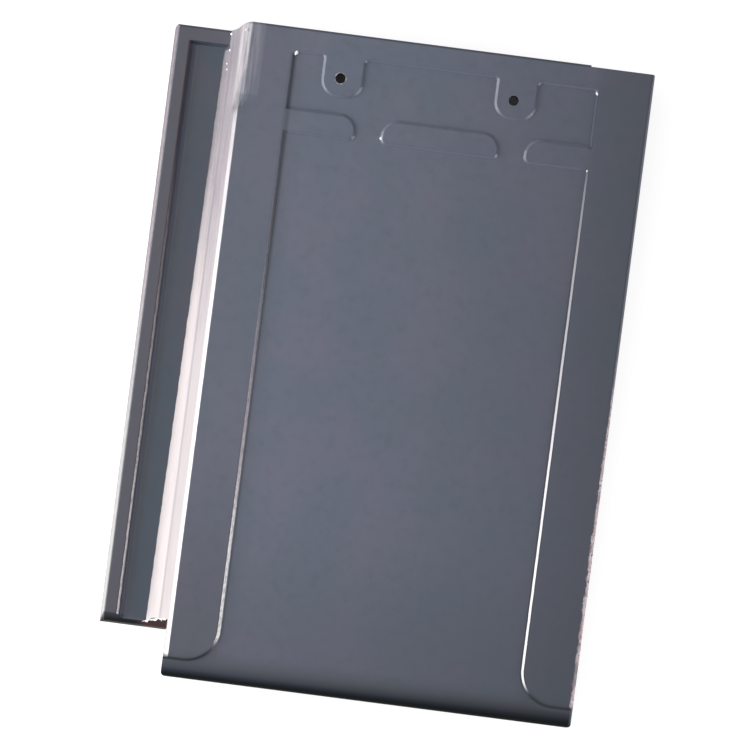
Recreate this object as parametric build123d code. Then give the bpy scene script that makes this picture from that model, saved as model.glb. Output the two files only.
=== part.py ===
from build123d import *
import math
import os

# Flat interlocking clay roof tile, pressed and fired as one piece. Sizes are millimetres.
# x runs from the underlap on the left to the cover flap on the right, y from the foot to the head, z up.
# The tile is drawn from its lower left corner, and is centred over its footprint at the end.

# Plan of the tile
tile_length = 410.0
underlap_reach = 46.0
panel_width = 254.0
side_joint = 5.0

# Levels, from the bottom of the batten nibs upwards
nib_drop = 8.0
groove_floor_thickness = 9.0
rim_rise = 5.0
face_rise = 19.0
panel_thickness = 11.0

# Underlap: outer side, rim, groove and the flank that climbs to the panel in three bands
side_draft = 2.6
rim_width = 8.6
rim_slope_run = 2.0
groove_width = 19.8
flank_low_run = 4.6
flank_low_rise = 8.0
flank_toe_spread = 4.2
flank_mid_run = 4.6
flank_mid_rise = 6.0
flank_wall = 8.0
groove_corner_radius = 3.0
underlap_foot = 27.0
underlap_foot_rake = 0.3
underlap_foot_break = 5.0
underlap_shoulder_run = 6.0
underlap_shoulder_rise = 8.0
underlap_shoulder_rake = 0.1
underlap_shoulder_radius = 4.0
underlap_head_setback = 6.4
head_curve_run = 15.0
head_curve_past_arris = 3.5
dam_width = 9.0
dam_slope_run = 2.0

# Cover flap: square edge, slanted lip that hangs into the next tile's groove
flap_edge_height = 4.0
flap_edge_draft = 1.2
lip_width = 8.0
lip_inner_run = 3.0
lip_floor_clearance = 2.0
lip_side_clearance = 1.5
flap_width = 40.0
flap_head_setback = 1.0

# Sunk field in the panel's face, with its raised frame
field_depth = 1.4
field_step_run = 1.6
left_strip = 29.6
right_strip = 33.5
head_strip = 14.0
foot_band = 13.2
foot_band_overhang = 2.8
strip_foot_radius = 20.0
field_corner_radius = 3.0

# Raised weather bars across the field
bar_from_head = 51.0
bar_width = 13.0
bar_gap_half_spacing = 44.7
bar_gap = 18.6
bar_shoulder_radius = 9.0
bar_toe_radius = 2.5

# Nail holes and the raised pads round them
nail_hole_radius = 3.0
nail_spacing = 108.0
nail_from_arris = 61.0
nail_from_head = 28.0
nail_pad_width = 23.5
nail_pad_shift = 1.5
nail_pad_reach = 10.5
nail_pad_radius = 9.5

# Bevel beside the arris where the next course laps over the head
lap_bevel_length = 45.0
lap_bevel_runout = 9.0
lap_bevel_width = 11.5
lap_bevel_arris = 2.5
lap_bevel_drop = 1.3

# Rounded edges
nose_radius = 6.5
head_radius = 1.5
arris_radius = 1.2
rim_radius = 1.5
flap_edge_radius = 1.5
plan_corner_radius = 3.0
flap_head_corner_radius = 1.0

# Underside: foot skirt, ribs, batten seats and nibs
skirt_width = 13.0
rib_width = 8.0
rib_depth = 7.0
seat_rib_width = 12.0
middle_rib_from_arris = 116.0
right_rib_from_flap = 11.0
cross_rib_spacing = 108.0
cross_rib_first = 120.0
batten_width = 50.0
nib_length = 34.0
nib_thickness = 15.0
nib_from_head = 4.0
nib_draft = 6.0

# Levels and places that follow from the sizes above
tile_width = underlap_reach + panel_width
seat_level = nib_drop
groove_level = seat_level + groove_floor_thickness
rim_level = groove_level + rim_rise
face_level = groove_level + face_rise
field_level = face_level - field_depth
under_level = face_level - panel_thickness
lip_level = groove_level + lip_floor_clearance
arris_x = underlap_reach
foot_left = arris_x - foot_band_overhang
rim_end_x = side_draft + rim_width
groove_start_x = rim_end_x + rim_slope_run
flank_start_x = groove_start_x + groove_width
flank_low_x = flank_start_x + flank_low_run
flank_mid_x = flank_low_x + flank_mid_run
flank_low_level = groove_level + flank_low_rise
flank_mid_level = flank_low_level + flank_mid_rise
underlap_head = tile_length - underlap_head_setback
next_tile_x = panel_width + side_joint
lip_outer_x = next_tile_x + flank_start_x - flank_toe_spread - lip_side_clearance
lip_inner_x = lip_outer_x - lip_width
flap_start_x = tile_width - flap_width
nib_front = tile_length - nib_from_head - nib_thickness
overshoot = 5.0
runout_share = 0.1


def outline(points):
    """Closed flat face through the given points."""
    return make_face(Polyline(*points, close=True))


def rounded(face, x, y, radius):
    """The face with its corner nearest to (x, y) rounded."""
    corner = face.vertices().sort_by_distance((x, y, 0))[0]
    return fillet(corner, radius)


def along_y(face, start, end):
    """Prism whose (x, z) outline runs along the tile."""
    return extrude(Plane.XZ.offset(-start) * face, amount=start - end)


def across_x(face, start, end):
    """Prism whose (y, z) outline runs across the tile."""
    return extrude(Plane.YZ.offset(start) * face, amount=end - start)


def block(x_from, x_to, y_from, y_to, z_from, z_to):
    """Upright block between the given planes."""
    size = (x_to - x_from, y_to - y_from, z_to - z_from)
    return Pos(x_from, y_from, z_from) * Box(*size, align=(Align.MIN, Align.MIN, Align.MIN))


def sliver(x, y, radius, x_side, y_side):
    """What rounding takes off a square corner at (x, y) whose solid lies to x_side and y_side."""
    inner_x = x + x_side * radius
    inner_y = y + y_side * radius
    outer_x = x - x_side * radius
    outer_y = y - y_side * radius
    corner = outline([(outer_x, outer_y), (inner_x, outer_y), (inner_x, inner_y), (outer_x, inner_y)])
    kept = outline([(x, inner_y), (inner_x, inner_y), (inner_x, y)])
    return corner - kept - Pos(inner_x, inner_y) * Circle(radius)


def upper_edge_sliver(y, z, radius, towards_foot, x_from, x_to):
    """Rounding of an upper edge that runs across the tile."""
    return across_x(sliver(y, z, radius, towards_foot, -1), x_from, x_to)


def plan_corner_sliver(x, y, radius, x_side, y_side):
    """Rounding of an upright corner of the plan."""
    return extrude(sliver(x, y, radius, x_side, y_side), amount=face_level + overshoot)


def section():
    """Cross section of the tile from the underlap's outer side to the cover flap's lip."""
    right = tile_width
    face = outline([
        (0, seat_level),
        (side_draft, rim_level),
        (rim_end_x, rim_level),
        (groove_start_x, groove_level),
        (flank_start_x, groove_level),
        (flank_low_x, flank_low_level),
        (flank_mid_x, flank_mid_level),
        (arris_x, face_level),
        (right - flap_edge_draft, face_level),
        (right, face_level - flap_edge_height),
        (lip_outer_x, lip_level),
        (lip_inner_x, lip_level),
        (lip_inner_x - lip_inner_run, under_level),
        (flank_mid_x + flank_wall, under_level),
        (flank_start_x + flank_wall, seat_level),
    ])
    face = rounded(face, side_draft, rim_level, rim_radius)
    face = rounded(face, rim_end_x, rim_level, rim_radius)
    face = rounded(face, groove_start_x, groove_level, groove_corner_radius)
    face = rounded(face, arris_x, face_level, arris_radius)
    face = rounded(face, right - flap_edge_draft, face_level, flap_edge_radius)
    return face


def flank_toe():
    """Wedge along the flank's lower band, whose toe spreads into the groove towards the foot."""
    ends = []
    for y, toe_x in ((0, flank_start_x - flank_toe_spread), (tile_length, flank_start_x)):
        face = outline([
            (toe_x, groove_level),
            (flank_low_x, flank_low_level),
            (flank_low_x, groove_level - overshoot),
            (toe_x, groove_level - overshoot),
        ])
        ends.append(Plane.XZ.offset(-y) * face)
    return loft(ends, ruled=True)


def underlap_foot_notch():
    """Space in front of the underlap, whose foot end leans back in a rounded shoulder."""
    break_y = underlap_foot + underlap_foot_break * underlap_foot_rake
    break_z = seat_level + underlap_foot_break
    shoulder_y = break_y + underlap_shoulder_run
    shoulder_z = break_z + underlap_shoulder_rise
    above = face_level + overshoot
    side = outline([
        (-overshoot, -overshoot),
        (underlap_foot - (seat_level + overshoot) * underlap_foot_rake, -overshoot),
        (break_y, break_z),
        (shoulder_y, shoulder_z),
        (shoulder_y + (above - shoulder_z) * underlap_shoulder_rake, above),
        (-overshoot, above),
    ])
    side = rounded(side, break_y, break_z, underlap_shoulder_radius)
    side = rounded(side, shoulder_y, shoulder_z, underlap_shoulder_radius)
    return across_x(side, -overshoot, foot_left)


def head_corner_cut():
    """Corner outside the double curve that joins the underlap's head to the panel's head."""
    turn = 2 * math.atan2(underlap_head_setback, head_curve_run)
    radius = head_curve_run / 2 / math.sin(turn)
    end_x = arris_x + head_curve_past_arris
    start_x = end_x - head_curve_run
    middle = (start_x + head_curve_run / 2, underlap_head + underlap_head_setback / 2)
    rising = (start_x + radius * math.sin(turn / 2), underlap_head + radius * (1 - math.cos(turn / 2)))
    levelling = (end_x - radius * math.sin(turn / 2), tile_length - radius * (1 - math.cos(turn / 2)))
    edges = [
        Line((-overshoot, underlap_head), (start_x, underlap_head)),
        ThreePointArc((start_x, underlap_head), rising, middle),
        ThreePointArc(middle, levelling, (end_x, tile_length)),
        Line((end_x, tile_length), (end_x, tile_length + overshoot)),
        Line((end_x, tile_length + overshoot), (-overshoot, tile_length + overshoot)),
        Line((-overshoot, tile_length + overshoot), (-overshoot, underlap_head)),
    ]
    return extrude(make_face(edges), amount=face_level + overshoot)


def dam():
    """Bar at the rim's level that closes the groove at the underlap's head."""
    side = outline([
        (underlap_head, groove_level - overshoot),
        (underlap_head, rim_level),
        (underlap_head - dam_width, rim_level),
        (underlap_head - dam_width - dam_slope_run, groove_level),
        (underlap_head - dam_width - dam_slope_run, groove_level - overshoot),
    ])
    return across_x(side, rim_end_x - rim_radius, flank_low_x)


def lap_bevel_outline(share):
    """What the bevel takes off the arris at the given share of its full depth."""
    edge_x = arris_x + lap_bevel_width * share
    return outline([
        (edge_x, face_level),
        (arris_x + lap_bevel_arris * share, face_level - lap_bevel_drop * share),
        (flank_mid_x, flank_mid_level),
        (flank_mid_x - overshoot, flank_mid_level),
        (flank_mid_x - overshoot, face_level + overshoot),
        (edge_x, face_level + overshoot),
    ])


def lap_bevel():
    """Gentle bevel along the panel's arris near the head, which runs out towards the foot."""
    full_from = tile_length - lap_bevel_length
    shallow = Plane.XZ.offset(lap_bevel_runout - full_from) * lap_bevel_outline(runout_share)
    full = Plane.XZ.offset(-full_from) * lap_bevel_outline(1)
    return [
        along_y(lap_bevel_outline(1), full_from, tile_length + overshoot),
        loft([shallow, full], ruled=True),
    ]


def nail_places():
    """Centres of the nail holes."""
    first = arris_x + nail_from_arris
    return [(first, tile_length - nail_from_head), (first + nail_spacing, tile_length - nail_from_head)]


def nail_pad(x, y):
    """Plan of the raised pad that hangs from the head strip round a nail hole."""
    left = x + nail_pad_shift - nail_pad_width / 2
    right = left + nail_pad_width
    foot = y - nail_pad_reach
    pad = outline([(left, foot), (right, foot), (right, tile_length), (left, tile_length)])
    pad = rounded(pad, left, foot, nail_pad_radius)
    return rounded(pad, right, foot, nail_pad_radius)


def weather_bar(start, end):
    """Plan of one raised bar, with wide shoulders towards the head."""
    head = tile_length - bar_from_head
    foot = head - bar_width
    bar = outline([(start, foot), (end, foot), (end, head), (start, head)])
    bar = rounded(bar, start, foot, bar_toe_radius)
    bar = rounded(bar, end, foot, bar_toe_radius)
    bar = rounded(bar, start, head, bar_shoulder_radius)
    return rounded(bar, end, head, bar_shoulder_radius)


def field_cut():
    """Shallow field sunk into the face, with sloping steps, open at the foot."""
    left = arris_x + left_strip
    right = tile_width - right_strip
    head = tile_length - head_strip
    plan = outline([
        (-overshoot, -overshoot),
        (tile_width + overshoot, -overshoot),
        (tile_width + overshoot, foot_band),
        (right, foot_band),
        (right, head),
        (left, head),
        (left, foot_band),
        (-overshoot, foot_band),
    ])
    for x in (left, right):
        plan = rounded(plan, x, foot_band, strip_foot_radius)
        plan = rounded(plan, x, head, field_corner_radius)
    centre = arris_x + panel_width / 2
    gap_left = centre - bar_gap_half_spacing
    gap_right = centre + bar_gap_half_spacing
    plan -= weather_bar(left - left_strip / 2, gap_left - bar_gap / 2)
    plan -= weather_bar(gap_left + bar_gap / 2, gap_right - bar_gap / 2)
    plan -= weather_bar(gap_right + bar_gap / 2, right + right_strip / 2)
    for x, y in nail_places():
        plan -= nail_pad(x, y)
        middle = x + nail_pad_shift
        plan = rounded(plan, middle - nail_pad_width / 2, head, field_corner_radius)
        plan = rounded(plan, middle + nail_pad_width / 2, head, field_corner_radius)
    taper = math.degrees(math.atan2(field_step_run, field_depth))
    return extrude(Pos(0, 0, face_level) * plan, amount=-field_depth, taper=taper)


def rounded_ends():
    """What the rounding of the foot, the head edges and the plan's corners takes away."""
    flap_head = tile_length - flap_head_setback
    rim_meets_flank = flank_start_x + flank_low_run * rim_rise / flank_low_rise
    past_left = -overshoot
    past_right = tile_width + overshoot
    return [
        upper_edge_sliver(0, field_level, nose_radius, 1, past_left, past_right),
        upper_edge_sliver(tile_length, face_level, head_radius, -1, past_left, flap_start_x),
        upper_edge_sliver(flap_head, face_level, head_radius, -1, flap_start_x, past_right),
        upper_edge_sliver(underlap_head, rim_level, head_radius, -1, past_left, rim_meets_flank),
        plan_corner_sliver(foot_left, 0, plan_corner_radius, 1, 1),
        plan_corner_sliver(tile_width, 0, plan_corner_radius, -1, 1),
        plan_corner_sliver(tile_width, flap_head, flap_head_corner_radius, -1, -1),
        plan_corner_sliver(0, underlap_head, plan_corner_radius, 1, -1),
    ]


def rib(x, width, y_from, y_to, bottom):
    """Rib under the panel, along the tile."""
    return block(x - width / 2, x + width / 2, y_from, y_to, bottom, under_level + overshoot)


def underside():
    """Foot skirt, ribs and batten seats that stand down from the panel."""
    right_rib = flap_start_x - right_rib_from_flap
    rib_bottom = under_level - rib_depth
    seat_foot = nib_front - batten_width
    pieces = [block(foot_left, flap_start_x - lip_inner_run, 0, skirt_width, 0, under_level + overshoot)]
    pieces.append(block(flap_start_x - overshoot, lip_outer_x, 0, skirt_width, lip_level,
                        under_level + overshoot))
    band_end = foot_band - field_step_run / 2
    pieces.append(block(foot_left, arris_x + arris_radius, 0, band_end, under_level, face_level))
    for x in (arris_x + middle_rib_from_arris, right_rib):
        pieces.append(rib(x, rib_width, skirt_width - 1, seat_foot, rib_bottom))
        pieces.append(rib(x, seat_rib_width, seat_foot, nib_front, seat_level))
    for count in range(2):
        y = cross_rib_first + count * cross_rib_spacing
        pieces.append(block(arris_x, right_rib, y - rib_width / 2, y + rib_width / 2, rib_bottom,
                            under_level + overshoot))
    return pieces


def nib(x):
    """Batten nib: upright hooking face towards the foot, sloped ends and back."""
    top = under_level + overshoot
    foot_face = outline([
        (x - nib_length / 2, 0),
        (x + nib_length / 2, 0),
        (x + nib_length / 2 + nib_draft, top),
        (x - nib_length / 2 - nib_draft, top),
    ])
    return along_y(foot_face, nib_front, nib_front + nib_thickness)


def tile():
    body = along_y(section(), 0, tile_length)
    body += flank_toe()
    body -= underlap_foot_notch()
    body += dam()
    body -= head_corner_cut()
    body -= block(flap_start_x, tile_width + overshoot, tile_length - flap_head_setback,
                  tile_length + overshoot, 0, face_level + overshoot)
    for piece in underside():
        body += piece
    for x, y in nail_places():
        body += nib(x)
    for cut in lap_bevel():
        body -= cut
    body -= field_cut()
    for cut in rounded_ends():
        body -= cut
    for x, y in nail_places():
        body -= Pos(x, y, face_level / 2) * Cylinder(nail_hole_radius, face_level + overshoot)
    return body


os.makedirs("parts", exist_ok=True)
roof_tile = Pos(-tile_width / 2, -tile_length / 2, 0) * tile()
export_step(roof_tile, "parts/tile.step")
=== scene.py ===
import math
import random

import bmesh
import bpy
from mathutils import Matrix, Vector, noise


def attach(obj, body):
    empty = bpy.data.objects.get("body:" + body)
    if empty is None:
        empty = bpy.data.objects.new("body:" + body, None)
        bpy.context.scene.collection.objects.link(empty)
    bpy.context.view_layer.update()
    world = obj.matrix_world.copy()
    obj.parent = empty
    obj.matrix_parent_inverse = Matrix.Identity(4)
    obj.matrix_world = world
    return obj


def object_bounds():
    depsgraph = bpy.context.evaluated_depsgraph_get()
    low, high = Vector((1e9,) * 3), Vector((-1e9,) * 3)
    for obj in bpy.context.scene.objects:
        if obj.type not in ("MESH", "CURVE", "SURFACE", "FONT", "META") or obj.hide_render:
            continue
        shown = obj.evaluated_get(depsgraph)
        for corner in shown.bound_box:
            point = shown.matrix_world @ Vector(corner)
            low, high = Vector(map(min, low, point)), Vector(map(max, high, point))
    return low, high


# Looks of a flat interlocking clay roof tile with a satin slate glaze.
# Lengths are millimetres from the tile's lower left corner, as in the part: x towards the cover flap,
# y from the foot to the head, z up. The scene itself is in metres, centred over the footprint.

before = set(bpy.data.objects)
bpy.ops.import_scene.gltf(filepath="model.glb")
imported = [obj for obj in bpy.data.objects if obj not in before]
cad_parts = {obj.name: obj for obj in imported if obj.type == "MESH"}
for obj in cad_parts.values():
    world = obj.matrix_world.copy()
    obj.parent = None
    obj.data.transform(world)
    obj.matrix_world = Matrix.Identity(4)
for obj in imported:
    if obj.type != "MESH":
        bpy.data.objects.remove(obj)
cad_low, cad_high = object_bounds()

MM = 0.001
LENGTH = (cad_high.y - cad_low.y) / MM
WIDTH = (cad_high.x - cad_low.x) / MM
FACE = cad_high.z / MM

# Where the tile's forms are
FIELD = FACE - 1.4
GROOVE = 17.0
RIM = 22.0
UNDER = 25.0
RIM_INNER = 11.2
GROOVE_START = 13.2
TOE_AT_FOOT = 28.8
TOE_AT_HEAD = 33.0
TOE_AT_DAM = 35.9
FLANK_LOW = 37.6
FLANK_LOW_LEVEL = 25.0
FLANK_MID = 42.2
FLANK_MID_LEVEL = 31.0
FOOT_LEFT = 43.2
ARRIS = 46.0
LEFT_STRIP_EDGE = 75.6
RIGHT_STRIP_EDGE = 266.5
STRIP_RADIUS = 20.0
FIELD_MIDDLE = 170.0
FOOT_BAND = 13.2
UNDERLAP_FOOT = 27.0
DAM_FOOT = 392.6
BAR_FOOT = 346.0
BAR_HEAD = 359.0
FIELD_HEAD = LENGTH - 14.0
LAP_BEVEL_FROM = 356.0
LAP_BEVEL_EDGE = 57.5
NAIL_HOLES = ((107.0, 382.0), (215.0, 382.0))
NAIL_RADIUS = 3.0

# Colours, linear
SLATE_BLUE = (0.096, 0.115, 0.159, 1)
SLATE_VIOLET = (0.112, 0.118, 0.166, 1)
# Paints light on steps, slopes and edges that lie in shade.
SLATE_PALE = (0.160, 0.170, 0.220, 1)
# Dark colours that mostly paint shade; the slate dark also gives darker mottles and the darker head edge.
SLATE_DARK = (0.042, 0.050, 0.066, 1)
GROOVE_TEAL = (0.033, 0.050, 0.073, 1)
GROOVE_VIOLET = (0.044, 0.048, 0.072, 1)
NEAR_BLACK = (0.008, 0.009, 0.009, 1)
# These pale colours paint highlights and lit sides; the first also gives the glaze a pale speckle.
PALE_SPECKLE_AND_HIGHLIGHT = (0.55, 0.495, 0.495, 1)
CREAM_HIGHLIGHT = (0.54, 0.50, 0.42, 1)
EDGE_WHITE = (0.80, 0.765, 0.78, 1)
SIDE_WHITE = (0.42, 0.415, 0.40, 1)
LILAC_HIGHLIGHT = (0.30, 0.25, 0.275, 1)
LILAC_PALE = (0.41, 0.335, 0.365, 1)
EDGE_PINK = (0.62, 0.52, 0.55, 1)
REDDISH_GLAZE = (0.068, 0.038, 0.048, 1)
BARE_CLAY = (0.36, 0.265, 0.27, 1)
CLAY_DARK = (0.085, 0.042, 0.040, 1)
CLAY_PALE = (0.70, 0.61, 0.65, 1)
# White of painted highlights and glints.
HIGHLIGHT_WHITE = (0.93, 0.91, 0.92, 1)


def place(x, y, z):
    """The scene's point for a place on the tile given in millimetres."""
    return Vector((x - WIDTH / 2, y - LENGTH / 2, z)) * MM


class Graph:
    """One material's shader nodes, with short ways to add and join them."""

    def __init__(self, name):
        self.material = bpy.data.materials.new(name)
        self.material.use_nodes = True
        self.tree = self.material.node_tree
        self.tree.nodes.clear()

    def add(self, kind, settings=None, **inputs):
        node = self.tree.nodes.new("ShaderNode" + kind)
        for key, value in (settings or {}).items():
            setattr(node, key, value)
        for key, value in inputs.items():
            self.join(value, node.inputs[key.replace("_", " ")])
        return node

    def join(self, value, socket):
        if isinstance(value, bpy.types.NodeSocket):
            self.tree.links.new(value, socket)
        else:
            socket.default_value = value

    def math(self, operation, a, b=0.0):
        node = self.add("Math", {"operation": operation})
        self.join(a, node.inputs[0])
        self.join(b, node.inputs[1])
        return node.outputs[0]

    def fold(self, operation, values):
        result = values[0]
        for value in values[1:]:
            result = self.math(operation, result, value)
        return result

    def times(self, *values):
        return self.fold("MULTIPLY", values)

    def plus(self, *values):
        return self.fold("ADD", values)

    def most(self, *values):
        return self.fold("MAXIMUM", values)

    def without(self, value):
        """1 where the value is 0, and the other way round."""
        return self.math("SUBTRACT", 1.0, value)

    def rise(self, value, low, high):
        """0 up to low and 1 from high, smoothly between."""
        node = self.add("MapRange", {"interpolation_type": "SMOOTHSTEP"}, Value=value)
        self.join(low, node.inputs["From Min"])
        self.join(high, node.inputs["From Max"])
        return node.outputs["Result"]

    def fall(self, value, low, high):
        """1 up to low and 0 from high."""
        return self.without(self.rise(value, low, high))

    def band(self, value, low, high, soft):
        """1 between low and high, fading over soft beside them."""
        return self.times(self.rise(value, low - soft, low), self.fall(value, high, high + soft))

    def along(self, value, *stops):
        """Strength that passes through the given (place, strength) stops."""
        first, last = stops[0][0], stops[-1][0]
        share = self.add("MapRange", Value=value, From_Min=first, From_Max=last).outputs["Result"]
        node = self.add("ValToRGB", Fac=share)
        elements = node.color_ramp.elements
        for _ in stops[2:]:
            elements.new(0.5)
        for element, (position, strength) in zip(elements, stops):
            element.position = (position - first) / (last - first)
            element.color = (strength, strength, strength, 1)
        return node.outputs["Color"]

    def level(self, value, low, high, at_low, at_high):
        """Straight change from at_low to at_high while the value goes from low to high."""
        node = self.add("MapRange", Value=value, From_Min=low, From_Max=high, To_Min=at_low, To_Max=at_high)
        return node.outputs["Result"]

    def noise(self, vector, size, detail=3.0, roughness=0.5):
        """Noise between 0 and 1 whose patches measure about the given size."""
        node = self.add("TexNoise", Vector=vector, Scale=1 / size, Detail=detail, Roughness=roughness)
        return node.outputs["Fac"]

    def mix(self, factor, first, second):
        return self.add("MixRGB", Fac=factor, Color1=first, Color2=second).outputs["Color"]

    def tile_coordinates(self):
        """The point's place on the tile in millimetres, whole and by axis."""
        point = self.add("TexCoord").outputs["Object"]
        scaled = self.add("VectorMath", {"operation": "SCALE"}, Vector=point, Scale=1 / MM).outputs[0]
        moved = self.add("VectorMath", {"operation": "ADD"})
        self.join(scaled, moved.inputs[0])
        moved.inputs[1].default_value = (WIDTH / 2, LENGTH / 2, 0)
        split = self.add("SeparateXYZ", Vector=moved.outputs[0])
        return moved.outputs[0], split.outputs["X"], split.outputs["Y"], split.outputs["Z"]

    def stretched(self, point, x, y, z):
        """The coordinates divided by the given stretch along each axis."""
        node = self.add("VectorMath", {"operation": "DIVIDE"})
        self.join(point, node.inputs[0])
        node.inputs[1].default_value = (x, y, z)
        return node.outputs[0]

    def finish(self, **inputs):
        shader = self.add("BsdfPrincipled")
        for key, value in inputs.items():
            self.join(value, shader.inputs[key.replace("_", " ")])
        output = self.add("OutputMaterial")
        self.tree.links.new(shader.outputs["BSDF"], output.inputs["Surface"])
        return self.material


class TileGraph(Graph):
    """Graph for the tile's surface, with the places, directions and noises that its regions share."""

    def __init__(self, name):
        super().__init__(name)
        self.point, self.x, self.y, self.z = self.tile_coordinates()
        normal = self.add("NewGeometry").outputs["Normal"]
        split = self.add("SeparateXYZ", Vector=normal)
        self.foot_facing = self.rise(self.times(split.outputs["Y"], -1.0), 0.15, 0.5)
        self.head_facing = self.rise(split.outputs["Y"], 0.15, 0.5)
        self.right_facing = self.rise(split.outputs["X"], 0.2, 0.5)
        self.down_facing = self.rise(self.times(split.outputs["Z"], -1.0), 0.02, 0.3)
        self.clouds = self.noise(self.point, 45.0, 4.0, 0.55)
        self.mottle = self.noise(self.point, 7.0, 3.0, 0.6)
        self.grain = self.noise(self.point, 1.3, 3.0, 0.6)
        self.streaks = self.noise(self.stretched(self.point, 1.0, 14.0, 1.0), 2.3, 3.0, 0.55)
        self.ribbons = self.noise(self.stretched(self.point, 1.0, 16.0, 1.0), 4.5, 2.0, 0.5)
        self.blotches = self.noise(self.stretched(self.point, 1.0, 2.2, 1.0), 1.5, 4.0, 0.7)
        self.waves = self.plus(self.noise(self.stretched(self.point, 20.0, 1.0, 20.0), 9.0, 3.0, 0.6), -0.5)
        self.step_out, self.step_turn = self.strip_edge()
        off_bars = self.without(self.band(self.y, BAR_FOOT + 1.2, BAR_HEAD - 1.2, 0.8))
        self.below_head = self.fall(self.y, FIELD_HEAD - 2.5, FIELD_HEAD - 1.0)
        self.beside_field = self.times(off_bars, self.below_head)
        self.above_foot_band = self.rise(self.y, FOOT_BAND, FOOT_BAND + 3.0)

    def strip_edge(self):
        """Distance out from the side strips' edge into the field, and how much that edge faces the foot."""
        from_left = self.plus(self.x, STRIP_RADIUS - LEFT_STRIP_EDGE)
        from_right = self.math("SUBTRACT", RIGHT_STRIP_EDGE + STRIP_RADIUS, self.x)
        across = self.math("MINIMUM", from_left, from_right)
        lengthwise = self.math("SUBTRACT", FOOT_BAND + STRIP_RADIUS, self.y)
        out_x = self.most(across, 0.0)
        out_y = self.most(lengthwise, 0.0)
        reach = self.math("SQRT", self.plus(self.times(out_x, out_x), self.times(out_y, out_y)))
        inside = self.math("MINIMUM", self.most(across, lengthwise), 0.0)
        return self.plus(reach, inside, -STRIP_RADIUS), self.math("DIVIDE", out_y, self.most(reach, 0.01))

    def paint(self, colour, onto, *masks):
        """The colour laid over another where all the masks are 1."""
        return self.mix(self.times(*masks), onto, colour)


def slate(g):
    """Cloudy slate body of the glaze, a little darker at the sides; towards the cover flap and the foot this
    darkening is painted shade, where the lamps' light falls off.
    """
    colour = g.mix(g.rise(g.clouds, 0.36, 0.64), SLATE_BLUE, SLATE_VIOLET)
    colour = g.paint(SLATE_DARK, colour, g.rise(g.mottle, 0.45, 0.8), 0.18)
    # Painted shade: darker towards the cover flap, where the left lamp's light falls off, and darker over
    # the underlap too.
    across = g.along(g.x, (0, 0.72), (12, 0.72), (40, 0.27), (74, 0.19), (90, 0.0), (160, 0.04), (262, 0.32),
                     (269, 0.56), (WIDTH, 0.72))
    colour = g.paint(SLATE_DARK, colour, across)
    # Painted shade: darker towards the foot.
    colour = g.paint(SLATE_DARK, colour, g.fall(g.y, 10.0, 130.0), 0.36)
    left_strip = g.band(g.x, ARRIS, LEFT_STRIP_EDGE, 1.0)
    colour = g.paint(REDDISH_GLAZE, colour, left_strip, g.fall(g.y, 50.0, 170.0), 0.17)
    return g.paint(PALE_SPECKLE_AND_HIGHLIGHT, colour, g.rise(g.grain, 0.6, 0.85), 0.04)


def clay(g):
    """Bare fired clay, pinkish and mottled."""
    colour = g.mix(g.rise(g.mottle, 0.35, 0.65), BARE_CLAY, CLAY_PALE)
    return g.paint(CLAY_DARK, colour, g.rise(g.blotches, 0.5, 0.72), 0.55)


def shade_groove(g, colour):
    """Painted shade that darkens the groove, lighter right beside the rim, and the warmer glaze of the rim
    and the dam.
    """
    around = g.times(g.fall(g.x, FLANK_LOW - 1.0, FLANK_LOW), g.fall(g.z, RIM + 0.3, RIM + 0.8))
    colour = g.paint(REDDISH_GLAZE, colour, around, g.rise(g.z, RIM - 1.0, RIM - 0.2), 0.26)
    # Painted shade in the groove behind the rim, lighter right beside the rim.
    inside = g.times(g.band(g.y, UNDERLAP_FOOT + 6.0, DAM_FOOT - 1.0, 1.5),
                     g.band(g.x, RIM_INNER + 1.2, TOE_AT_HEAD, 0.6))
    depth = g.along(g.x, (RIM_INNER, 0.15), (GROOVE_START, 0.22), (18, 0.62), (24, 0.92),
                    (TOE_AT_HEAD, 0.96))
    violet_share = g.times(g.rise(g.clouds, 0.44, 0.60), g.rise(g.y, 70.0, 170.0))
    groove_shade = g.mix(violet_share, GROOVE_TEAL, GROOVE_VIOLET)
    towards_head = g.level(g.y, 300.0, 385.0, 1.0, 0.86)
    return g.paint(groove_shade, colour, inside, depth, towards_head)


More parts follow.
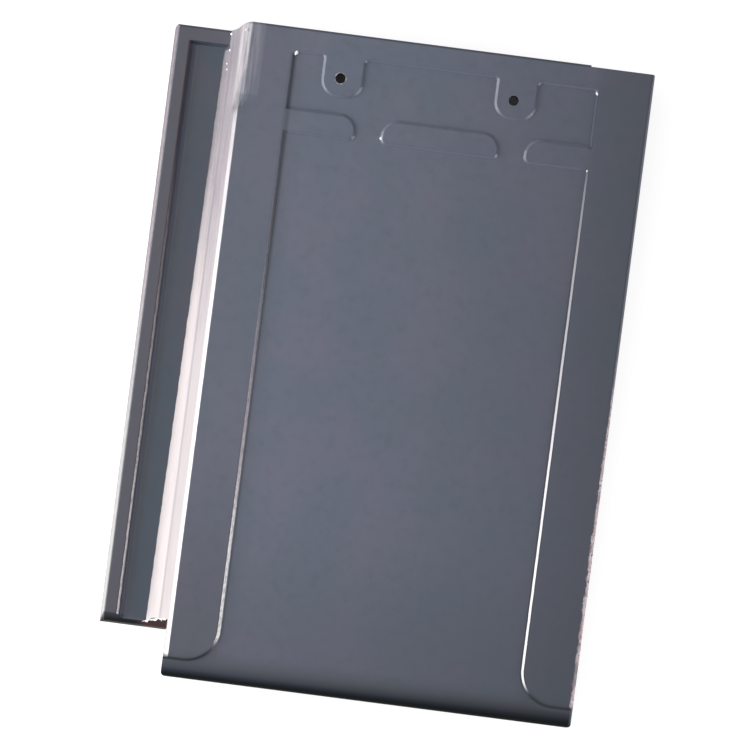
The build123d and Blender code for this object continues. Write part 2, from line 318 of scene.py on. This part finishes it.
def painted_flank_highlight(g, colour):
    """Painted highlight on the flank between groove and panel: pale, cream and lilac colour stands in for
    the left lamp's reflection, in streaks along the tile.
    """
    toe = g.plus(TOE_AT_FOOT, g.times(g.y, (TOE_AT_HEAD - TOE_AT_FOOT) / LENGTH))
    toe = g.plus(toe, g.times(g.rise(g.y, DAM_FOOT - 2.0, DAM_FOOT), TOE_AT_DAM - TOE_AT_HEAD))
    past_toe = g.plus(g.math("SUBTRACT", g.x, toe), g.times(g.waves, 1.2))
    above_nose = g.rise(g.y, FOOT_BAND - 0.6, FOOT_BAND)
    on_flank = g.times(g.rise(past_toe, -0.2, 0.4), g.fall(g.x, ARRIS - 0.1, ARRIS + 0.4),
                       g.rise(g.z, GROOVE - 1.5, GROOVE), g.without(g.foot_facing), above_nose)
    low = g.fall(g.x, FLANK_LOW - 0.6, FLANK_LOW + 0.2)
    low_strength = g.along(g.y, (30, 0.93), (200, 1.0), (265, 0.80), (340, 0.44), (405, 0.26))
    mid_strength = g.along(g.y, (30, 0.87), (190, 0.79), (265, 0.63), (340, 0.44), (405, 0.30))
    strength = g.plus(mid_strength, g.times(g.math("SUBTRACT", low_strength, mid_strength), low))
    liveliness = g.level(g.y, 200.0, 370.0, 0.2, 1.6)
    uneven = g.plus(1.0, g.times(g.plus(g.streaks, g.ribbons, g.times(g.blotches, 0.5), -1.25), liveliness))
    valley = g.without(g.times(g.band(g.x, FLANK_LOW - 0.3, FLANK_LOW + 0.5, 0.6), 0.22))
    # Painted highlight: pale colour for the lamp's reflection on the flank, then cream and lilac tints of
    # it.
    colour = g.paint(PALE_SPECKLE_AND_HIGHLIGHT, colour, on_flank, strength, uneven, valley)
    colour = g.paint(CREAM_HIGHLIGHT, colour, on_flank, low, strength, g.rise(g.blotches, 0.55, 0.7), 0.4)
    return g.paint(LILAC_HIGHLIGHT, colour, on_flank, g.along(g.y, (230, 0.0), (320, 0.35), (405, 0.40)))


def painted_arris_highlight(g, colour):
    """Painted highlight: a white line along the panel's left arris."""
    line = g.band(g.plus(g.x, g.times(g.waves, 0.5)), ARRIS - 1.7, ARRIS + 0.1, 0.6)
    strength = g.along(g.y, (12.5, 0.0), (14.0, 1.0), (200, 1.0), (275, 0.70), (345, 0.42), (362, 0.0))
    uneven = g.level(g.streaks, 0.3, 0.6, 0.75, 1.0)
    upper = g.rise(g.z, FLANK_MID_LEVEL, FLANK_MID_LEVEL + 1.0)
    return g.paint(EDGE_WHITE, colour, line, upper, strength, uneven)


def painted_lap_bevel_sheen(g, colour):
    """Painted highlight in streaks on the bevel that the next course laps, and painted shade where the bevel
    runs out.
    """
    wander = g.plus(g.y, g.times(g.waves, 16.0))
    on_bevel = g.times(g.rise(g.x, FLANK_MID, FLANK_MID + 1.5),
                       g.fall(g.x, LAP_BEVEL_EDGE - 1.0, LAP_BEVEL_EDGE),
                       g.rise(g.z, FLANK_MID_LEVEL - 1.0, FLANK_MID_LEVEL))
    runout = g.times(g.rise(g.y, LAP_BEVEL_FROM - 5.0, LAP_BEVEL_FROM),
                     g.fall(wander, LAP_BEVEL_FROM + 4.0, LAP_BEVEL_FROM + 24.0))
    fading = g.along(g.x, (ARRIS - 1, 1.0), (LAP_BEVEL_EDGE - 3, 0.0))
    # Painted shade where the bevel runs out.
    colour = g.paint(SLATE_DARK, colour, on_bevel, runout, fading, 0.42)
    # Painted highlight in streaks on the bevel.
    across = g.along(g.x, (ARRIS - 2, 0.38), (ARRIS + 2, 0.34), (ARRIS + 4.5, 0.18), (LAP_BEVEL_EDGE, 0.0))
    uneven = g.level(g.streaks, 0.35, 0.65, 0.1, 1.4)
    ends = g.plus(g.y, g.times(g.plus(g.streaks, -0.5), 60.0))
    start = g.rise(ends, LAP_BEVEL_FROM + 4.0, LAP_BEVEL_FROM + 26.0)
    return g.paint(PALE_SPECKLE_AND_HIGHLIGHT, colour, on_bevel, across, uneven, start)


def rim_lines(g, colour):
    """Painted highlight along the rim's inner arris, with a thin reddish line of glaze beside it, and
    painted light on the rim's inner slope.
    """
    beside = g.plus(g.x, g.times(g.waves, 0.8))
    length = g.band(g.y, UNDERLAP_FOOT + 7.5, DAM_FOOT, 1.0)
    upper = g.rise(g.z, GROOVE + 2.0, GROOVE + 3.0)
    slope = g.times(g.rise(g.x, RIM_INNER + 0.2, RIM_INNER + 0.6),
                    g.fall(g.x, GROOVE_START, GROOVE_START + 4.0), length)
    # Painted light on the rim's inner slope, which lies in shade.
    colour = g.paint(SLATE_PALE, colour, slope, 0.45)
    red = g.times(g.band(beside, RIM_INNER - 1.2, RIM_INNER - 0.3, 0.3), length, upper)
    colour = g.paint(REDDISH_GLAZE, colour, red, g.level(g.streaks, 0.35, 0.6, 0.5, 0.9))
    line = g.times(g.band(beside, RIM_INNER - 0.4, RIM_INNER + 0.55, 0.25), length, upper)
    strength = g.along(g.y, (34, 1.0), (110, 0.9), (190, 0.5), (260, 0.22), (330, 0.0))
    patchy = g.level(g.blotches, 0.36, 0.55, 0.5, 1.0)
    # Painted highlight along the rim's inner arris.
    colour = g.paint(HIGHLIGHT_WHITE, colour, line, strength, patchy)
    dam_edge = g.times(g.band(g.y, DAM_FOOT - 0.6, DAM_FOOT + 0.4, 0.4),
                       g.band(g.x, RIM_INNER, TOE_AT_DAM, 1.0))
    return g.paint(REDDISH_GLAZE, colour, dam_edge, upper, 0.35)


def left_step_lines(g, colour):
    """Left step of the field: a patchy painted highlight towards the foot, painted shade towards the head,
    and a reddish line of glaze beside it near the foot.
    """
    wandering = g.plus(g.step_out, g.times(g.waves, 0.5))
    on_step = g.times(g.fall(g.x, FIELD_MIDDLE - 10.0, FIELD_MIDDLE + 10.0), g.fall(g.step_turn, 0.2, 0.5),
                      g.below_head, g.above_foot_band)
    towards_head = g.rise(g.y, 200.0, 300.0)
    beside = g.times(g.band(g.step_out, -1.2, -0.6, 0.3), g.fall(g.y, 120.0, 230.0))
    colour = g.paint(REDDISH_GLAZE, colour, on_step, beside, 0.55)
    # Painted shade along the step and, towards the head, over it.
    colour = g.paint(SLATE_DARK, colour, on_step, g.band(wandering, 1.3, 2.2, 0.9), 0.50)
    dull = g.times(g.band(g.step_out, -0.2, 1.5, 0.5), towards_head)
    colour = g.paint(SLATE_DARK, colour, on_step, dull, g.level(g.streaks, 0.35, 0.6, 0.55, 0.0))
    colour = g.paint(SLATE_DARK, colour, on_step, g.band(g.step_out, -0.8, 2.6, 1.3), towards_head, 0.30)
    # Painted highlight, white towards the foot and pink further up.
    strength = g.along(g.y, (22, 1.0), (90, 0.96), (130, 0.72), (200, 0.42), (260, 0.16), (340, 0.0))
    patchy = g.level(g.blotches, 0.35, 0.6, 0.45, 1.0)
    line_colour = g.mix(g.rise(g.y, 80.0, 160.0), HIGHLIGHT_WHITE, EDGE_PINK)
    line = g.band(wandering, -0.45, 0.95, 0.3)
    return g.paint(line_colour, colour, on_step, line, strength, patchy)


def right_step_lines(g, colour):
    """Right step of the field: a white painted highlight with thin lines of painted shade beside it, which
    fade towards the head, where painted shade dulls the step.
    """
    wandering = g.plus(g.step_out, g.times(g.waves, 0.5))
    on_step = g.times(g.rise(g.x, FIELD_MIDDLE - 10.0, FIELD_MIDDLE + 10.0), g.fall(g.step_turn, 0.35, 0.72),
                      g.above_foot_band, g.beside_field)
    # Painted shade over the step towards the head, and thin lines of painted shade beside it.
    dull = g.times(g.band(g.step_out, 0.0, 1.6, 0.3), g.rise(g.y, 190.0, 330.0))
    colour = g.paint(SLATE_DARK, colour, on_step, dull, 0.45)
    inner = g.band(g.step_out, 1.6, 2.2, 0.4)
    outer = g.times(g.band(g.step_out, -0.7, -0.2, 0.3), 0.6)
    colour = g.paint(NEAR_BLACK, colour, on_step, g.most(inner, outer), g.fall(g.y, 240.0, 345.0), 0.5)
    # Painted highlight along the step.
    strength = g.along(g.y, (18, 1.0), (110, 1.0), (165, 0.74), (205, 0.52), (240, 0.38), (335, 0.16),
                       (350, 0.04), (395, 0.03))
    return g.paint(EDGE_WHITE, colour, on_step, g.band(wandering, 0.2, 1.2, 0.25), strength)


def painted_strip_end_shade(g, colour):
    """Painted shade: dark lines below the side strips' round foot ends, where the steps face the foot."""
    on_ends = g.times(g.rise(g.step_turn, 0.55, 0.85), g.fall(g.y, 34.0, 40.0))
    colour = g.paint(SLATE_DARK, colour, on_ends, g.band(g.step_out, -0.5, 2.8, 1.6), 0.75)
    return g.paint(NEAR_BLACK, colour, on_ends, g.band(g.step_out, 0.2, 1.7, 0.5), 0.5)


def painted_step_light(g, colour):
    """Painted light: paler colour that lightens the shade on the sloping steps of bars, pads, field head and
    dam near the head.
    """
    sloping = g.most(g.times(g.foot_facing, 0.55), g.head_facing, g.times(g.right_facing, 0.3))
    on_field = g.times(g.band(g.z, FIELD + 0.15, FACE - 0.15, 0.1), g.fall(g.y, LENGTH - 8.0, LENGTH - 6.0))
    on_dam = g.times(g.band(g.z, GROOVE + 0.2, RIM - 0.4, 0.3), g.fall(g.x, TOE_AT_DAM, TOE_AT_DAM + 1.0),
                     g.band(g.y, DAM_FOOT - 3.0, DAM_FOOT, 0.5))
    return g.paint(SLATE_PALE, colour, g.rise(g.y, 320.0, 330.0), sloping, g.most(on_field, on_dam), 0.85)


def hole_highlight_and_shade(g, colour):
    """Painted highlight as a pale broken ring round the left nail hole, and painted shade inside each hole.
    """
    distances = []
    for centre_x, centre_y in NAIL_HOLES:
        across = g.plus(g.x, -centre_x)
        lengthwise = g.plus(g.y, -centre_y)
        distances.append(g.math("SQRT", g.plus(g.times(across, across), g.times(lengthwise, lengthwise))))
    nearest = g.fold("MINIMUM", distances)
    ring = g.times(g.band(nearest, NAIL_RADIUS, NAIL_RADIUS + 0.7, 0.3), g.rise(g.blotches, 0.48, 0.62))
    colour = g.paint(PALE_SPECKLE_AND_HIGHLIGHT, colour, ring, g.fall(g.x, 150.0, 200.0), 0.7)
    return g.paint(NEAR_BLACK, colour, g.fall(nearest, NAIL_RADIUS, NAIL_RADIUS + 0.2))


def end_face(g):
    """The underlap's foot end."""
    return g.times(g.foot_facing, g.fall(g.x, FOOT_LEFT, FOOT_LEFT + 0.3),
                   g.band(g.y, UNDERLAP_FOOT - 3.0, UNDERLAP_FOOT + 10.0, 1.0))


def shade_foot(g, colour):
    """Painted shade over the foot band, its nose and the underlap's foot end, which face the foot, with bare
    clay on part of that end.
    """
    # Painted shade on the foot band, nose and foot end, which face the foot.
    colour = g.paint(SLATE_DARK, colour, g.fall(g.y, 8.0, 22.0), 0.75)
    rightwards = g.along(g.x, (FOOT_LEFT, 0.15), (120, 0.30), (WIDTH, 0.62))
    colour = g.paint(NEAR_BLACK, colour, g.fall(g.y, 6.0, 16.0), rightwards)
    colour = g.paint(NEAR_BLACK, colour, g.fall(g.plus(g.y, g.times(g.waves, 1.0)), 1.0, 7.5), 0.97)
    colour = g.paint(NEAR_BLACK, colour, end_face(g), g.level(g.z, 15.0, 20.0, 0.96, 0.15))
    wander = g.plus(g.x, g.times(g.waves, 8.0), g.times(g.blotches, 3.0))
    bare = g.times(end_face(g), g.rise(wander, 23.0, 32.0))
    return g.paint(CLAY_DARK, colour, bare, 0.9)


def outer_sides(g, colour):
    """Painted light on the underlap's outer side, which faces the left lamp, chipped towards the head, with
    darker clay at its outermost edge; painted light on the right edge, and a darker head edge.
    """
    side = g.times(g.fall(g.x, 2.4, 3.2), g.rise(g.z, 8.0, 10.0))
    strength = g.along(g.y, (28, 0.0), (34, 1.0), (150, 0.90), (250, 0.74), (330, 0.64), (400, 0.50))
    chips = g.level(g.plus(g.blotches, g.times(g.streaks, 0.4)), 0.58, 0.80, 0.25, 1.0)
    chipped = g.level(g.y, 60.0, 330.0, 0.25, 0.95)
    patchy = g.plus(g.times(chips, chipped), g.without(chipped))
    pale = g.mix(g.rise(g.y, 150.0, 300.0), SIDE_WHITE, LILAC_PALE)
    # Painted light: the outer side is pale where it faces the left lamp.
    colour = g.paint(pale, colour, side, strength, patchy)
    outermost = g.times(g.fall(g.x, 0.9, 1.5), g.along(g.y, (140, 0.0), (230, 0.55), (400, 0.75)))
    colour = g.paint(CLAY_DARK, colour, outermost, g.level(g.blotches, 0.4, 0.6, 0.4, 1.0))
    # Painted light on the right edge.
    colour = g.paint(SLATE_PALE, colour, g.rise(g.x, WIDTH - 2.2, WIDTH - 1.0), 0.3)
    head_edge = g.rise(g.y, LENGTH - 2.0, LENGTH - 0.6)
    return g.paint(SLATE_DARK, colour, head_edge, 0.6)


def bare_areas(g):
    """Where the clay is bare: the underside, the low sides and the rough lower right edge."""
    hidden = g.times(g.fall(g.z, UNDER - 0.2, UNDER), g.band(g.x, 50.0, WIDTH - 3.0, 2.0),
                     g.band(g.y, FOOT_BAND - 1.0, LENGTH - 4.5, 0.4))
    overspray = g.times(g.fall(g.plus(g.z, g.times(g.blotches, 9.0)), 9.0, 17.0), g.without(end_face(g)))
    overspray = g.times(overspray, g.rise(g.y, 2.0, 5.0))
    wander = g.plus(g.x, g.times(g.waves, 2.2), g.times(g.blotches, 4.0))
    reach = g.level(g.y, 130.0, 245.0, 2.6, 1.1)
    edge = g.rise(wander, g.math("SUBTRACT", WIDTH + 2.0, reach), g.math("SUBTRACT", WIDTH + 2.8, reach))
    strength = g.along(g.y, (12.8, 0.0), (14, 0.95), (25, 0.95), (29, 0.35), (38, 0.35), (42, 1.0),
                       (170, 1.0), (225, 0.8), (255, 0.0))
    return g.most(g.down_facing, hidden, overspray, g.times(edge, strength))


def tile_material():
    """Satin slate glaze over reddish clay, which is bare underneath and along the lower right edge."""
    g = TileGraph("slate_glaze")
    colour = slate(g)
    # Several layers paint light and shade: painted shade in the groove, over the foot and on steps; painted
    # highlights on flank, arris, bevel, rim and steps; painted light on the outer side and shaded slopes.
    for layer in (shade_groove, shade_foot, painted_flank_highlight, painted_arris_highlight, painted_lap_bevel_sheen, rim_lines, painted_step_light,
                  left_step_lines, right_step_lines, painted_strip_end_shade, outer_sides):
        colour = layer(g, colour)
    bare = bare_areas(g)
    colour = g.mix(bare, colour, clay(g))
    colour = hole_highlight_and_shade(g, colour)
    glaze_roughness = g.plus(0.27, g.times(g.mottle, 0.14))
    roughness = g.plus(g.times(glaze_roughness, g.without(bare)), g.times(bare, 0.85))
    ripple = g.plus(g.times(g.clouds, 0.10), g.times(g.mottle, 0.035), g.times(g.grain, 0.010))
    grit = g.times(g.plus(g.times(g.grain, 0.16), g.times(g.blotches, 0.12)), bare)
    soft_edges = g.add("Bevel", {"samples": 4}, Radius=0.5 * MM).outputs["Normal"]
    bump = g.add("Bump", Height=g.plus(ripple, grit), Distance=MM, Strength=1.0, Normal=soft_edges)
    dull_foot = g.times(g.most(g.fall(g.y, 3.0, 12.0), end_face(g)), 0.96)
    dull_side = g.times(g.fall(g.x, 2.4, 3.2), 0.7)
    on_right = g.rise(g.x, FIELD_MIDDLE, FIELD_MIDDLE + 10.0)
    dullness = g.along(g.y, (180, 0.0), (240, 0.40), (330, 0.82), (345, 0.94), (400, 0.96))
    dull_step = g.times(g.band(g.step_out, -0.1, 1.6, 0.3), on_right, g.beside_field, dullness)
    facing = g.add("LayerWeight", Blend=0.5).outputs["Facing"]
    glancing = g.times(g.rise(facing, 0.50, 0.66), 0.93)
    gloss = g.times(0.5, g.without(g.most(dull_foot, dull_side, dull_step, glancing)))
    return g.finish(Base_Color=colour, Roughness=roughness, Normal=bump.outputs["Normal"], IOR=1.5,
                    Specular_IOR_Level=gloss)


def glint_material():
    """Glossy pale glaze of the small beads and runs, painted white as the lamps' glints."""
    g = Graph("glaze_beads_with_painted_glint")
    point = g.tile_coordinates()[0]
    patches = g.noise(point, 1.2, 3.0, 0.6)
    colour = g.mix(g.times(g.rise(patches, 0.45, 0.75), 0.5), HIGHLIGHT_WHITE, EDGE_WHITE)
    bump = g.add("Bump", Height=g.times(patches, 0.05), Distance=MM, Strength=1.0).outputs["Normal"]
    return g.finish(Base_Color=colour, Roughness=g.plus(0.10, g.times(patches, 0.12)), Normal=bump, IOR=1.5)


def crust_material():
    """Rough pinkish clay of the crust along the lower right edge."""
    g = Graph("clay_crust")
    point = g.tile_coordinates()[0]
    patches = g.noise(g.stretched(point, 1.0, 1.5, 1.0), 1.0, 4.0, 0.65)
    grit = g.noise(point, 0.5, 3.0, 0.7)
    colour = g.mix(g.rise(patches, 0.46, 0.62), CLAY_PALE, BARE_CLAY)
    colour = g.mix(g.times(g.rise(patches, 0.54, 0.62), 0.9), colour, CLAY_DARK)
    height = g.plus(g.times(patches, 0.2), g.times(grit, 0.12))
    bump = g.add("Bump", Height=height, Distance=MM, Strength=1.0).outputs["Normal"]
    return g.finish(Base_Color=colour, Roughness=g.plus(0.75, g.times(grit, 0.2)), Normal=bump, IOR=1.45)


def floor_material():
    """Pale floor that looks white and keeps the tile's shadow."""
    g = Graph("pale_floor")
    x, y = g.tile_coordinates()[1:3]
    path = g.add("LightPath").outputs
    seen = g.most(path["Is Camera Ray"], path["Is Glossy Ray"], path["Is Transmission Ray"])
    under_panel = g.times(g.band(x, 56.0, WIDTH - 12.0, 10.0), g.band(y, 12.0, LENGTH - 14.0, 10.0))
    under_lap = g.times(g.band(x, 12.0, 60.0, 10.0), g.band(y, 40.0, LENGTH - 14.0, 10.0))
    open_floor = g.without(g.most(under_panel, under_lap))
    matt = g.add("BsdfDiffuse", Color=(0.42, 0.42, 0.42, 1)).outputs["BSDF"]
    strength = g.times(seen, open_floor, 0.78)
    glow = g.add("Emission", Color=(1, 1, 1, 1), Strength=strength).outputs["Emission"]
    both = g.add("AddShader")
    g.join(matt, both.inputs[0])
    g.join(glow, both.inputs[1])
    output = g.add("OutputMaterial")
    g.join(both.outputs[0], output.inputs["Surface"])
    return g.material


def dress_tile():
    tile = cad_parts["tile"]
    material = tile_material()
    for material_slot in tile.material_slots:
        material_slot.material = material


def add_piece(name, bm, material):
    """Object from a finished bmesh, which belongs to the tile."""
    bmesh.ops.recalc_face_normals(bm, faces=bm.faces)
    mesh = bpy.data.meshes.new(name)
    bm.to_mesh(mesh)
    bm.free()
    for polygon in mesh.polygons:
        polygon.use_smooth = True
    mesh.materials.append(material)
    piece = bpy.data.objects.new(name, mesh)
    bpy.context.scene.collection.objects.link(piece)
    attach(piece, "root")


def add_lump(bm, centre, radii, turn, draw):
    """Small uneven lump, longer along its own y axis, turned about z by the given degrees."""
    seed = Vector((draw.uniform(0, 90), draw.uniform(0, 90), draw.uniform(0, 90)))
    rotation = Matrix.Rotation(math.radians(turn), 3, "Z")
    for vertex in bmesh.ops.create_icosphere(bm, subdivisions=3, radius=1.0)["verts"]:
        swell = 1 + 0.28 * noise.noise(vertex.co * 1.3 + seed)
        shape = Vector([radius * part * swell for radius, part in zip(radii, vertex.co)])
        vertex.co = place(*centre) + rotation @ shape * MM


def glaze_beads_with_painted_glint(material):
    """Beads of glaze at the corners of the field's steps, and small ones on the flank near the head, whose
    white is a painted glint.
    """
    draw = random.Random(11)
    bm = bmesh.new()
    step_middle = (FIELD + FACE) / 2
    for x, y, across, lengthwise, turn in (
        (77.9, 394.3, 1.10, 1.7, -20),
        (76.9, 346.2, 0.65, 0.8, 0),
        (136.6, 348.6, 0.85, 1.2, -10),
        (265.6, 393.0, 0.75, 1.4, 30),
        (265.7, 344.8, 0.65, 0.85, 0),
        (225.6, 375.9, 0.55, 1.0, -40),
    ):
        add_lump(bm, (x, y, step_middle - 0.1), (across, lengthwise, 0.7), turn, draw)
    for x, y, z, size in (
        (36.2, 401.4, 22.6, 0.75), (35.6, 383.0, 22.0, 0.5), (36.0, 379.2, 22.6, 0.6),
        (45.2, 404.5, 34.2, 0.5), (36.4, 391.4, 22.8, 0.55),
    ):
        add_lump(bm, (x, y, z), (size, size * 1.5, size * 0.8), draw.uniform(-30, 30), draw)
    add_piece("glaze_beads_with_painted_glint", bm, material)


def add_run(bm, points, side, radii):
    """Closed lumpy run along the points, with the given (side, other) radii at each of them."""
    points_around = 10
    rings = []
    for number, (point, (along_side, other)) in enumerate(zip(points, radii)):
        before = points[max(number - 1, 0)]
        after = points[min(number + 1, len(points) - 1)]
        upright = (after - before).cross(side).normalized()
        ring = []
        for step in range(points_around):
            angle = math.tau * step / points_around
            sideways, upwards = math.cos(angle), math.sin(angle)
            rough = 1 + 0.35 * noise.noise(point * 0.9 + Vector((0, 4 * sideways, 4 * upwards)))
            offset = side * (along_side * rough * sideways) + upright * (other * rough * upwards)
            x, y, z = point + offset
            ring.append(bm.verts.new(place(min(x, WIDTH - 0.03), y, min(z, FACE - 0.1))))
        rings.append(ring)
    for ring, following in zip(rings, rings[1:]):
        for step in range(points_around):
            beside = (step + 1) % points_around
            bm.faces.new((ring[step], ring[beside], following[beside], following[step]))
    bm.faces.new(rings[0])
    bm.faces.new(rings[-1])


def lumpiness(broad, fine, fine_share):
    """Broad lumps plus a share of finer ones, each read at a (place along the run, row) of the noise."""
    return noise.noise(Vector((*broad, 0))) + fine_share * noise.noise(Vector((*fine, 0)))


def flank_point(share):
    """Place on the edge where the flank meets the underlap's foot end, from the toe up to the panel."""
    stops = (
        (TOE_AT_FOOT - 2.0, UNDERLAP_FOOT + 4.0, GROOVE),
        (FLANK_LOW, UNDERLAP_FOOT + 7.8, FLANK_LOW_LEVEL),
        (FLANK_MID, UNDERLAP_FOOT + 8.3, FLANK_MID_LEVEL),
    )
    first = min(int(share * 2), 1)
    return Vector(stops[first]).lerp(Vector(stops[first + 1]), share * 2 - first)


def foot_drips(material):
    """Uneven white run where the flank's glaze came over the underlap's foot end; its white carries on the
    flank's painted highlight.
    """
    bm = bmesh.new()
    points = []
    radii = []
    count = 60
    for number in range(count + 1):
        share = number / count
        lump = lumpiness((share * 11.0, 2.0), (share * 27.0, 5.0), 0.6)
        taper = min(1.0, 0.15 + share * 5.0, 0.25 + (1 - share) * 8.0)
        size = taper * (0.48 + 0.70 * lump)
        points.append(flank_point(share) + Vector((0, -0.10 - 0.7 * lump, -0.35)))
        radii.append((max(size, 0.10) * 1.10, max(size, 0.10) * 0.55))
    add_run(bm, points, Vector((0, 1, 0)), radii)
    add_piece("foot_drips", bm, material)


def edge_crust(material):
    """Crust of rough clay on the cover flap's outer edge, from the foot band to mid length."""
    bm = bmesh.new()
    start, end, pace = FOOT_BAND + 1.0, 242.0, 0.7
    gap_from, gap_to = 27.0, 40.5
    points = []
    radii = []
    for step in range(int((end - start) / pace) + 1):
        y = start + step * pace
        lump = lumpiness((y * 0.45, 3.0), (y * 1.3, 8.0), 0.5)
        share = min((y - start) / 3.0, (end - y) / 45.0, 1.0)
        if gap_from < y < gap_to:
            share *= 0.2
        size = max(share, 0.05) * (0.8 + 0.5 * lump)
        points.append(Vector((WIDTH - 1.55 + 0.3 * lump, y, FACE - 1.9)))
        radii.append((1.5 * max(size, 0.05), 1.75 * max(size, 0.05)))
    add_run(bm, points, Vector((1, 0, 0)), radii)
    add_piece("edge_crust", bm, material)


def make_floor():
    bpy.ops.mesh.primitive_plane_add(size=40)
    floor = bpy.context.object
    floor.name = "floor"
    floor.location.z = -0.0002
    floor.data.materials.append(floor_material())


def softbox(name, centre, aim, width, height, radiance):
    """Rectangular lamp of the given radiance that faces a point."""
    data = bpy.data.lights.new(name, "AREA")
    data.shape = "RECTANGLE"
    data.size = width
    data.size_y = height
    data.energy = radiance * math.pi * width * height
    lamp = bpy.data.objects.new(name, data)
    bpy.context.scene.collection.objects.link(lamp)
    lamp.location = centre
    lamp.rotation_euler = (Vector(aim) - Vector(centre)).to_track_quat("-Z", "Y").to_euler()


def light_scene():
    softbox("left_softbox", (-0.80, -0.05, 0.28), (0, 0, 0.02), 1.0, 0.50, 6.5)
    softbox("right_foot_light", (0.75, -0.35, 0.15), (0.05, -0.1, 0.03), 0.60, 0.24, 7.0)
    softbox("overhead", (-1.1, 0.2, 3.6), (0, 0, 0), 3.0, 3.0, 1.35)
    world = bpy.data.worlds.new("dim_room")
    world.use_nodes = True
    world.node_tree.nodes["Background"].inputs["Color"].default_value = (0.33, 0.33, 0.34, 1)
    bpy.context.scene.world = world


def make_camera():
    """Camera above the tile, at the photograph's angle: the tile lies turned in the frame."""
    turn = math.radians(-7.35)
    tilt = math.radians(1.0)
    distance = 2.4
    aim = Vector((0, 0, FACE * MM))
    across, up = -1.26 * MM, 2.49 * MM
    pixels_per_mm = 1.61422
    image_width = 750
    data = bpy.data.cameras.new("camera")
    data.sensor_width = 36.0
    data.lens = pixels_per_mm * distance / MM / image_width * data.sensor_width
    data.clip_end = 100
    to_camera = Matrix.Rotation(tilt, 3, "X") @ Matrix.Rotation(turn, 3, "Z")
    from_camera = to_camera.transposed()
    camera = bpy.data.objects.new("camera", data)
    bpy.context.scene.collection.objects.link(camera)
    location = aim + from_camera @ Vector((-across, -up, distance))
    camera.matrix_world = Matrix.Translation(location) @ from_camera.to_4x4()
    bpy.context.scene.camera = camera


dress_tile()
# Pale glaze whose white is a painted glint, on the beads and the foot run.
glint_glaze = glint_material()
glaze_beads_with_painted_glint(glint_glaze)
foot_drips(glint_glaze)
edge_crust(crust_material())
make_floor()
light_scene()
make_camera()
bpy.context.scene.view_settings.view_transform = "Standard"
